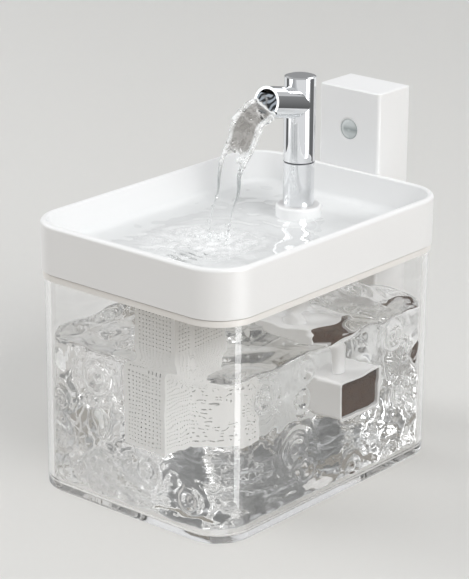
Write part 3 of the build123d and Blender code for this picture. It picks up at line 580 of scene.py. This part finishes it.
def buildIntakeLip():
    # a bead round the mouth of the pump's case
    low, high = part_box("pump_case")
    middle = (low + high) / 2
    inset = intakeLip["inset"]
    selectNothing()
    bpy.ops.mesh.primitive_plane_add(size=1, location=(high.x - intakeLip["back"], middle.y, middle.z),
                                     rotation=(0, math.pi / 2, 0))
    lip = newest("intake_lip")
    lip.scale = (high.z - low.z - 2 * inset, high.y - low.y - 2 * inset, 1)
    settle(lip)
    pick(lip, "VERT")
    bpy.ops.mesh.bevel(offset=intakeLip["corner"], segments=6, affect="VERTICES")
    bpy.ops.mesh.delete(type="ONLY_FACE")
    workOn(lip)
    bpy.ops.object.convert(target="CURVE")
    lip = bpy.context.active_object
    lip.data.bevel_depth = intakeLip["radius"]
    lip.data.bevel_resolution = 3
    bpy.ops.object.convert(target="MESH")
    lip = newest("intake_lip")
    smoothAll(lip)
    finishWith(lip, "satinAbsWhite")
    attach(lip, "pump")


buildIntakeLip()
print("intake lip built")


tankWaterShape = {
    "gap": 1.6 * mm,                             # between the wall and the middle of the ripples
    "level": 102.0 * mm,
    "voxel": 1.7 * mm,
    "waveHeight": 9.0 * mm,
    "waveLength": 40.0 * mm,
    "swirlHeight": 2.6 * mm,
    "swirlLength": 18.0 * mm,
    "curlHeight": 0.4 * mm,
    "curlLength": 9.0 * mm,
    "topFade": 8.0 * mm,                         # where the sides' swirls give way to the top's waves
    "stirred": 0.14,                             # how rough the sides are at least
    # and what is added towards each side, the share of the tank over which it fades, and the power
    # with which it does
    "towardsFloor": (0.6, 0.5, 1),
    "towardsBack": (0.6, 0.38, 1),
    "towardsLeft": (0.55, 0.45, 1),
    "towardsFront": (0.3, 0.42, 0.5),
    "ringHeight": 1.7 * mm,                      # of the rings round each whirl
    "ringReach": 10.0 * mm,
    "ringLength": 7.0 * mm,
    # the largest whirls, each by its place on the wall in mm and its size
    "whirls": ((-25, -118, 84, 1.2), (-23, -118, 14, 1.3), (17, -118, 35, 0.9), (50, -118, 25, 1.0),
               (74, -82, 85, 0.9), (74, -42, 92, 0.9), (74, -46, 74, 0.8), (74, 6, 13, 1.2),
               (74, 46, 90, 1.0), (74, 56, 50, 1.1)),
    "whirlCount": 46,                            # with these, and the rest strewn at random
    "whirlSizes": (0.7, 1.3),
    "whirlOval": (1.2, 130),                     # strewn on an oval: times the tank's half width, and mm
    "whirlInset": 5.0 * mm,                      # and then held this far inside the tank's sides
    "whirlLowest": 8.0 * mm,
    "whirlDepth": 12.0 * mm,                     # of the highest, under the level
    "whirlChance": (0.2, 0.7),                   # kept where the sides are rougher than a draw from this
}


def addDisplace(piece, name, kind, height, length, group="", direction="NORMAL", **settings):
    pattern = bpy.data.textures.new(name, kind)
    pattern.noise_scale = length
    for key, value in settings.items():
        setattr(pattern, key, value)
    addModifier(piece, "DISPLACE", texture=pattern, texture_coords="LOCAL", strength=height,
                mid_level=0.5, vertex_group=group, direction=direction)


def weigh(piece, name, weight):
    group = piece.vertex_groups.new(name=name)
    for vert in piece.data.vertices:
        group.add([vert.index], min(1.0, max(0.0, weight(vert.co))), "REPLACE")


def stir(place):
    # how rough the water's sides are at a place
    shape = tankWaterShape
    along = (place.y - tankLow.y) / (tankHigh.y - tankLow.y)
    across = (place.x - tankLow.x) / (tankHigh.x - tankLow.x)
    rough = shape["stirred"]
    for side, away in (("towardsFloor", place.z / shape["level"]), ("towardsBack", 1 - along),
                       ("towardsLeft", across), ("towardsFront", along)):
        most, span, power = shape[side]
        rough += most * max(0.0, 1 - away / span) ** power
    return rough


def scatterWhirls():
    # small whirls against the tank's walls, more of them where the sides are rough
    shape = tankWaterShape
    chance = random.Random(5)
    whirls = [(Vector(whirl[:3]) * mm, whirl[3]) for whirl in shape["whirls"]]
    inset = shape["whirlInset"]
    ovalX, ovalY = shape["whirlOval"]
    while len(whirls) < shape["whirlCount"]:
        angle = chance.uniform(-math.pi, math.pi)
        spot = Vector((math.cos(angle) * tankHigh.x * ovalX, tankMiddle.y + math.sin(angle) * ovalY * mm, 0))
        spot.x = min(tankHigh.x - inset, max(tankLow.x + inset, spot.x))
        spot.y = min(tankHigh.y - inset, max(tankLow.y + inset, spot.y))
        spot.z = chance.uniform(shape["whirlLowest"], shape["level"] - shape["whirlDepth"])
        if stir(spot) > chance.uniform(*shape["whirlChance"]):
            whirls.append((spot, chance.uniform(*shape["whirlSizes"])))
    return whirls


def addRings(water):
    shape = tankWaterShape
    whirls = scatterWhirls()
    water.data.update()
    moves = {}
    for vert in water.data.vertices:
        for spot, size in whirls:
            away = (vert.co - spot).length / size
            if away < 2 * shape["ringReach"]:
                fade = math.exp(-(away / shape["ringReach"]) ** 2)
                ring = shape["ringHeight"] * fade * math.cos(2 * math.pi * away / shape["ringLength"])
                moves[vert.index] = moves.get(vert.index, Vector()) + vert.normal * ring
    for index, move in moves.items():
        water.data.vertices[index].co += move


def buildTankWater():
    shape = tankWaterShape
    level, fade = shape["level"], shape["topFade"]
    inset = tankShape["wall"] + shape["gap"]
    low = tankLow + Vector((inset, inset, tankShape["floor"] + shape["gap"]))
    high = Vector((tankHigh.x - inset, tankHigh.y - inset, level))
    water = roundedBox("tank_water", low, high, tankShape["corner"] - inset, 8, tankShape["innerFoot"], 2)
    addModifier(water, "REMESH", mode="VOXEL", voxel_size=shape["voxel"])
    addModifier(water, "SMOOTH", factor=0.5, iterations=4)
    weigh(water, "top", lambda place: (place.z - level + fade) / fade)
    weigh(water, "sides", lambda place: stir(place) * min(1.0, (level + fade / 2 - place.z) / fade))
    addDisplace(water, "waves", "CLOUDS", shape["waveHeight"], shape["waveLength"], "top", "Z", noise_depth=1)
    addDisplace(water, "swirls", "CLOUDS", shape["swirlHeight"], shape["swirlLength"], "sides", noise_depth=0)
    addDisplace(water, "curls", "DISTORTED_NOISE", shape["curlHeight"], shape["curlLength"], "sides",
                distortion=1.2)
    addRings(water)
    addModifier(water, "SMOOTH", factor=0.5, iterations=1)
    water.vertex_groups.clear()
    smoothAll(water)
    finishWith(water, "tankWater")
    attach(water, "tank")


buildTankWater()
print("tank filled")


basinWaterShape = {
    "floor": 147.0 * mm,
    "level": 158.5 * mm,
    "sunk": 0.4 * mm,                            # into the tray's floor and wall, so that no gap shows
    "rim": 4.0 * mm,
    "corner": 22.0 * mm,
    "voxel": 1.3 * mm,
    "stillBelow": 0.25,                          # share of the depth that the swell doesn't move
    "movedFrom": 0.875,                          # and from where it moves all
    "swellHeight": 2.6 * mm,
    "swellLength": 19.0 * mm,
    "landing": 79.0 * mm,                        # where the stream lands, in front of the faucet's axis
    "ringLength": 10.0 * mm,
    "ringHeight": 0.7 * mm,
    "ringReach": 46.0 * mm,
    "ringDepth": 1.5 * mm,                       # they move what lies above this depth
    "ringWarp": 7.0 * mm,
    "warpLength": 24.0 * mm,
    # drops over the landing: how many, how far out and how high in mm, down to no height at dropEnd
    "drops": 16,
    "dropAway": (3, 15),
    "dropRise": (-0.4, 5.0),
    "dropEnd": 18.0 * mm,
    "dropRadius": (0.6, 1.3),
    "dropStretch": 1.1,
}


def addDrop(spot, radius, stretch):
    selectNothing()
    bpy.ops.mesh.primitive_uv_sphere_add(segments=16, ring_count=10, radius=radius, location=spot,
                                         scale=(1, 1, stretch))
    return settle(newest("drop"))


def buildBasinWater():
    shape = basinWaterShape
    trayLow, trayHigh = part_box("drinking_tray")
    inset = shape["rim"] - shape["sunk"]
    bottom = shape["floor"] - shape["sunk"]
    level = shape["level"]
    low = Vector((trayLow.x + inset, trayLow.y + inset, bottom))
    high = Vector((trayHigh.x - inset, trayHigh.y - inset, level))
    water = roundedBox("basin_water", low, high, shape["corner"], 8)
    addModifier(water, "REMESH", mode="VOXEL", voxel_size=shape["voxel"])
    still, moved = shape["stillBelow"], shape["movedFrom"]
    weigh(water, "top", lambda place: ((place.z - bottom) / (level - bottom) - still) / (moved - still))
    addDisplace(water, "swell", "CLOUDS", shape["swellHeight"], shape["swellLength"], "top", "Z",
                noise_depth=1)
    landingY = faucetMiddle.y - shape["landing"]
    # rings round the landing, bent a little by noise that would differ at each run without its seed
    noise.seed_set(7)
    for vert in water.data.vertices:
        if vert.co.z > level - shape["ringDepth"]:
            bend = noise.noise_vector(vert.co / shape["warpLength"]) * shape["ringWarp"]
            away = math.hypot(vert.co.x - faucetMiddle.x + bend.x, vert.co.y - landingY + bend.y)
            fade = max(0.0, 1 - away / shape["ringReach"])
            vert.co.z += shape["ringHeight"] * fade * math.cos(2 * math.pi * away / shape["ringLength"])
    water.vertex_groups.clear()
    chance = random.Random(9)
    parts = [water]
    for _ in range(shape["drops"]):
        turn = chance.uniform(0, 2 * math.pi)
        away = chance.uniform(*shape["dropAway"]) * mm
        rise = chance.uniform(*shape["dropRise"]) * mm * (1 - away / shape["dropEnd"])
        spot = Vector((faucetMiddle.x + away * math.cos(turn), landingY + away * math.sin(turn),
                       level + rise))
        parts.append(addDrop(spot, chance.uniform(*shape["dropRadius"]) * mm, shape["dropStretch"]))
    water = joinPieces("basin_water", parts)
    smoothAll(water)
    finishWith(water, "basinWater")
    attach(water, "tray")


buildBasinWater()
print("basin filled")


streamShape = {
    # edges of the falling sheet from the mouth down, as places ahead of the faucet's axis and heights
    "leftEdge": ((31.5, 236.0), (37.5, 235.2), (48.6, 231.0), (54.6, 226.0), (58.0, 215.5), (65.0, 205.5),
                 (67.8, 196.0), (69.4, 184.0), (74.5, 173.0), (77.2, 162.0), (78.0, 156.0)),
    "rightEdge": ((31.5, 231.0), (39.0, 228.2), (49.0, 224.5), (53.4, 216.0), (59.8, 208.0), (67.6, 199.5),
                  (69.2, 187.0), (73.8, 179.0), (77.6, 168.0), (78.9, 161.0), (79.5, 156.0)),
    "edgeRadius": (1.5, 1.9, 1.7, 1.6, 1.6, 1.5, 1.0, 0.7, 0.65, 0.6, 0.8),
    "halfWidth": 8.2,
    "mouthHalfWidth": 6.2,
    "webColumns": 30,
    "webRows": 60,
    "webThickness": 0.9 * mm,
    "webBulge": Vector((0, -1.5 * mm, 0.8 * mm)),
    "webEnd": 0.44,                              # share of the way down at which the sheet tears open
    "hemSides": 1.12,                            # times webEnd, how far the torn hem hangs at the sides
    "hemRise": 0.2,                              # and how much less in the middle
    "teeth": ((0.05, 19, 0), (0.03, 43, 1)),     # its waves: height, radians across, and start
    "teethSides": 0.4,                           # and their share at the sides
    "hemDropRadius": (0.8, 1.3),
    "hemDropStretch": (1.0, 2.2),
    # drops along each edge: how many, between which shares of the way down, how far off the edge,
    # radius and stretch
    "edgeDrops": ((12, (0.12, 0.5), 0.9, (0.9, 1.7), 1.3), (7, (0.6, 0.97), 1.6, (0.5, 0.95), 1.5)),
    "plugRadius": 7.9 * mm,
    "plugDepth": 5.4 * mm,
    "plugFront": 0.4 * mm,                       # past the mouth
    "plugLevel": 5.2 * mm,                       # how high the water stands in the mouth, above its middle
    "voxel": 0.42 * mm,
    "foamHeight": 0.8 * mm,
    "foamLength": 3.2 * mm,
    "foamLeast": 0.25,                           # share of the foam down to foamLow, and all foamSpan above
    "foamLow": 195.0 * mm,
    "foamSpan": 25.0 * mm,
}


def edgePlace(side, step):
    # a point of one edge of the sheet, by its number in the list
    shape = streamShape
    ahead, height = shape["leftEdge" if side < 0 else "rightEdge"][step]
    halfWidth = shape["mouthHalfWidth"] if step == 0 else shape["halfWidth"]
    return Vector((faucetMiddle.x + side * halfWidth * mm, faucetMiddle.y - ahead * mm, height * mm))


def edgeCurve(side):
    data = bpy.data.curves.new("edge", "CURVE")
    data.dimensions = "3D"
    line = data.splines.new("BEZIER")
    line.bezier_points.add(len(streamShape["leftEdge"]) - 1)
    for step, point in enumerate(line.bezier_points):
        point.co = edgePlace(side, step)
        point.handle_left_type = "AUTO"
        point.handle_right_type = "AUTO"
        point.radius = streamShape["edgeRadius"][step]
    line.resolution_u = 10
    curve = bpy.data.objects.new("edge", data)
    bpy.context.scene.collection.objects.link(curve)
    return curve


def pathPoints(curve):
    mesh = curve.to_mesh()
    points = [vert.co.copy() for vert in mesh.vertices]
    curve.to_mesh_clear()
    return points


def streamWeb(leftPoints, rightPoints):
    # the film between the two edges, and the points of its torn hem
    shape = streamShape
    selectNothing()
    bpy.ops.mesh.primitive_grid_add(x_subdivisions=shape["webColumns"], y_subdivisions=shape["webRows"],
                                    size=1)
    web = newest("web")
    last = len(leftPoints) - 1
    for vert in web.data.vertices:
        across = vert.co.x + 0.5
        arch = math.sin(math.pi * across)
        teeth = sum(height * math.sin(across * turns + start) for height, turns, start in shape["teeth"])
        teeth *= shape["teethSides"] + (1 - shape["teethSides"]) * arch
        hemAt = shape["webEnd"] * (shape["hemSides"] - shape["hemRise"] * arch + teeth)
        down = (0.5 - vert.co.y) * hemAt
        place = down * last
        step = min(int(place), last - 1)
        left = leftPoints[step].lerp(leftPoints[step + 1], place - step)
        right = rightPoints[step].lerp(rightPoints[step + 1], place - step)
        vert.co = left.lerp(right, across) + shape["webBulge"] * arch * math.sin(math.pi * down)
    hem = [vert.co.copy() for vert in web.data.vertices[:shape["webColumns"] + 1]]
    addModifier(web, "SOLIDIFY", thickness=shape["webThickness"], offset=0)
    return web, hem


def mouthPlug():
    # the water that fills the end of the spout
    shape = streamShape
    along = Vector((0, -math.cos(spoutRise), math.sin(spoutRise)))
    across = Vector((0, math.sin(spoutRise), math.cos(spoutRise)))
    selectNothing()
    bpy.ops.mesh.primitive_cylinder_add(
        radius=shape["plugRadius"], depth=shape["plugDepth"] + shape["plugFront"], vertices=48,
        location=mouthMiddle + along * (shape["plugFront"] - shape["plugDepth"]) / 2,
        rotation=(math.pi / 2 - spoutRise, 0, 0))
    plug = settle(newest("plug"))
    pick(plug, "FACE")
    bpy.ops.mesh.bisect(plane_co=mouthMiddle + across * shape["plugLevel"], plane_no=across,
                        clear_outer=True, use_fill=True)
    bpy.ops.object.mode_set(mode="OBJECT")
    return plug


def thicken(curve):
    curve.data.bevel_depth = mm                  # times each point's radius
    curve.data.bevel_resolution = 4
    curve.data.use_fill_caps = True
    workOn(curve)
    bpy.ops.object.convert(target="MESH")
    return bpy.context.active_object


def buildStream():
    shape = streamShape
    chance = random.Random(4)
    curves = [edgeCurve(-1), edgeCurve(1)]
    paths = [pathPoints(curve) for curve in curves]
    web, hem = streamWeb(*paths)
    parts = [web, mouthPlug()] + [thicken(curve) for curve in curves]
    for spot in hem[2:-2:2]:
        radius = chance.uniform(*shape["hemDropRadius"]) * mm
        parts.append(addDrop(spot, radius, chance.uniform(*shape["hemDropStretch"])))
    for path in paths:
        for count, share, off, radius, stretch in shape["edgeDrops"]:
            for _ in range(count):
                spot = path[int(len(path) * chance.uniform(*share))]
                spot = spot + Vector([chance.uniform(-off, off) * mm for _ in range(3)])
                parts.append(addDrop(spot, chance.uniform(*radius) * mm, stretch))
    stream = joinPieces("water_stream", parts)
    addModifier(stream, "REMESH", mode="VOXEL", voxel_size=shape["voxel"])
    addModifier(stream, "SMOOTH", factor=0.5, iterations=2)
    weigh(stream, "foam", lambda place: shape["foamLeast"] + (place.z - shape["foamLow"]) / shape["foamSpan"])
    addDisplace(stream, "foam", "CLOUDS", shape["foamHeight"], shape["foamLength"], "foam", noise_depth=0)
    addModifier(stream, "SMOOTH", factor=0.5, iterations=1)
    stream.vertex_groups.clear()
    smoothAll(stream)
    finishWith(stream, "aeratedWater")
    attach(stream, "faucet")
    print("stream,", len(stream.data.polygons), "faces")


buildStream()


studio = {
    "floorSize": 14.0,
    "floorColour": "D9D8D5",
    "floorBounce": "A39D93",                     # what the floor throws back onto the object
    "aim": Vector((0, 0, 0.12)),
    # each lamp's place, power and size
    "keyLamp": (Vector((2.1, -0.35, 1.6)), 36.0, 1.3),
    "sideLamp": (Vector((-2.2, -0.8, 1.4)), 29.0, 1.4),
    "skyColour": "E4E5E6",
    "skyLight": 0.78,
    "glossZenith": 0.4,                          # how bright gloss sees the sky overhead
    "clearZenith": 0.15,                         # and how bright it is through clear pieces
    "clearHeight": 0.35,                         # from this height up, where 1 is overhead
    # bright and dark upright screens that only gloss and metal see: direction round from the front
    # and half width in degrees, and brightness
    "screens": ((96, 9, 13.0), (138, 20, 0.22), (-64, 12, 0.15), (-37, 9, 1.8), (-170, 12, 1.4),
                (-140, 13, 0.3)),
    "screenFoot": -0.5,                          # they stop this far down
    "screenRise": 1.15,                          # their brightness at the horizon, and more above it
    # light is led a long way along the clear floor and walls, so it needs many bounces
    "bounces": {"glossy_bounces": 80, "transmission_bounces": 48, "max_bounces": 110,
                "transparent_max_bounces": 32},
}


def addLamp(name):
    spot, power, size = studio[name]
    data = bpy.data.lights.new(name, "AREA")
    data.size = size
    data.energy = power
    lamp = bpy.data.objects.new(name, data)
    lamp.location = spot
    lamp.rotation_euler = (studio["aim"] - spot).to_track_quat("-Z", "Y").to_euler()
    bpy.context.scene.collection.objects.link(lamp)


def addFloor():
    selectNothing()
    bpy.ops.mesh.primitive_plane_add(size=studio["floorSize"], location=(0, 0, 0))
    floor = newest("floor")
    # Matt paint: pale to the eye, darker in what it throws back.
    material, shader, _ = newMaterial("paintedFloor", {"IOR": 1.45, "Roughness": 0.55})
    bounced = addNode(material, "LightPath").outputs["Is Diffuse Ray"]
    feed(material, shader, {"Base Color": addNode(material, "MixRGB", {
        "Fac": bounced, "Color1": studio["floorColour"], "Color2": studio["floorBounce"]})})
    floor.data.materials.append(material)
    floor.visible_glossy = False


def addSky():
    # even light all round, with a sky of its own for gloss and one for what shows through clear pieces
    world = bpy.data.worlds.new("studioSky")
    world.use_nodes = True
    bpy.context.scene.world = world
    parts = addNode(world, "SeparateXYZ", {"Vector": addNode(world, "TexCoord").outputs["Generated"]}).outputs
    ahead = addNode(world, "Math", {0: parts["Y"], 1: -1.0}, operation="MULTIPLY")
    turn = addNode(world, "Math", {0: parts["X"], 1: ahead}, operation="ARCTAN2")
    above = addNode(world, "Math", {0: parts["Z"], 1: studio["screenFoot"]}, operation="GREATER_THAN")
    rise = addNode(world, "Math", {0: parts["Z"], 1: studio["screenRise"]}, operation="ADD")
    gloss = addNode(world, "MapRange", {"Value": parts["Z"], "To Min": 1.0, "To Max": studio["glossZenith"]})
    clear = addNode(world, "MapRange", {
        "Value": parts["Z"], "From Max": studio["clearHeight"],
        "To Min": 1.0, "To Max": studio["clearZenith"]})
    for middle, half, brightness in studio["screens"]:
        within = addNode(world, "Math", {0: turn, 1: math.radians(middle), 2: math.radians(half)},
                         operation="COMPARE")
        inside = addNode(world, "Math", {0: within, 1: above}, operation="MULTIPLY")
        outside = addNode(world, "Math", {0: 1.0, 1: inside}, operation="SUBTRACT")
        kept = addNode(world, "Math", {0: gloss, 1: outside}, operation="MULTIPLY")
        screen = addNode(world, "Math", {0: inside, 1: brightness}, operation="MULTIPLY")
        gloss = addNode(world, "Math", {0: screen, 1: rise, 2: kept}, operation="MULTIPLY_ADD")
    path = addNode(world, "LightPath").outputs
    level = studio["skyLight"]
    for ray, strength in (("Is Camera Ray", 1.0), ("Is Glossy Ray", gloss), ("Is Transmission Ray", clear)):
        change = addNode(world, "Math", {0: strength, 1: level}, operation="SUBTRACT")
        level = addNode(world, "Math", {0: path[ray], 1: change, 2: level}, operation="MULTIPLY_ADD")
    feed(world, world.node_tree.nodes["Background"], {"Color": studio["skyColour"], "Strength": level})


def addStudio():
    addFloor()
    addSky()
    addLamp("keyLamp")
    addLamp("sideLamp")
    scene = bpy.context.scene
    scene.view_settings.view_transform = "Standard"
    scene.cycles.caustics_refractive = False
    scene.cycles.caustics_reflective = False
    for limit, count in studio["bounces"].items():
        setattr(scene.cycles, limit, count)


addStudio()
print("studio lit")
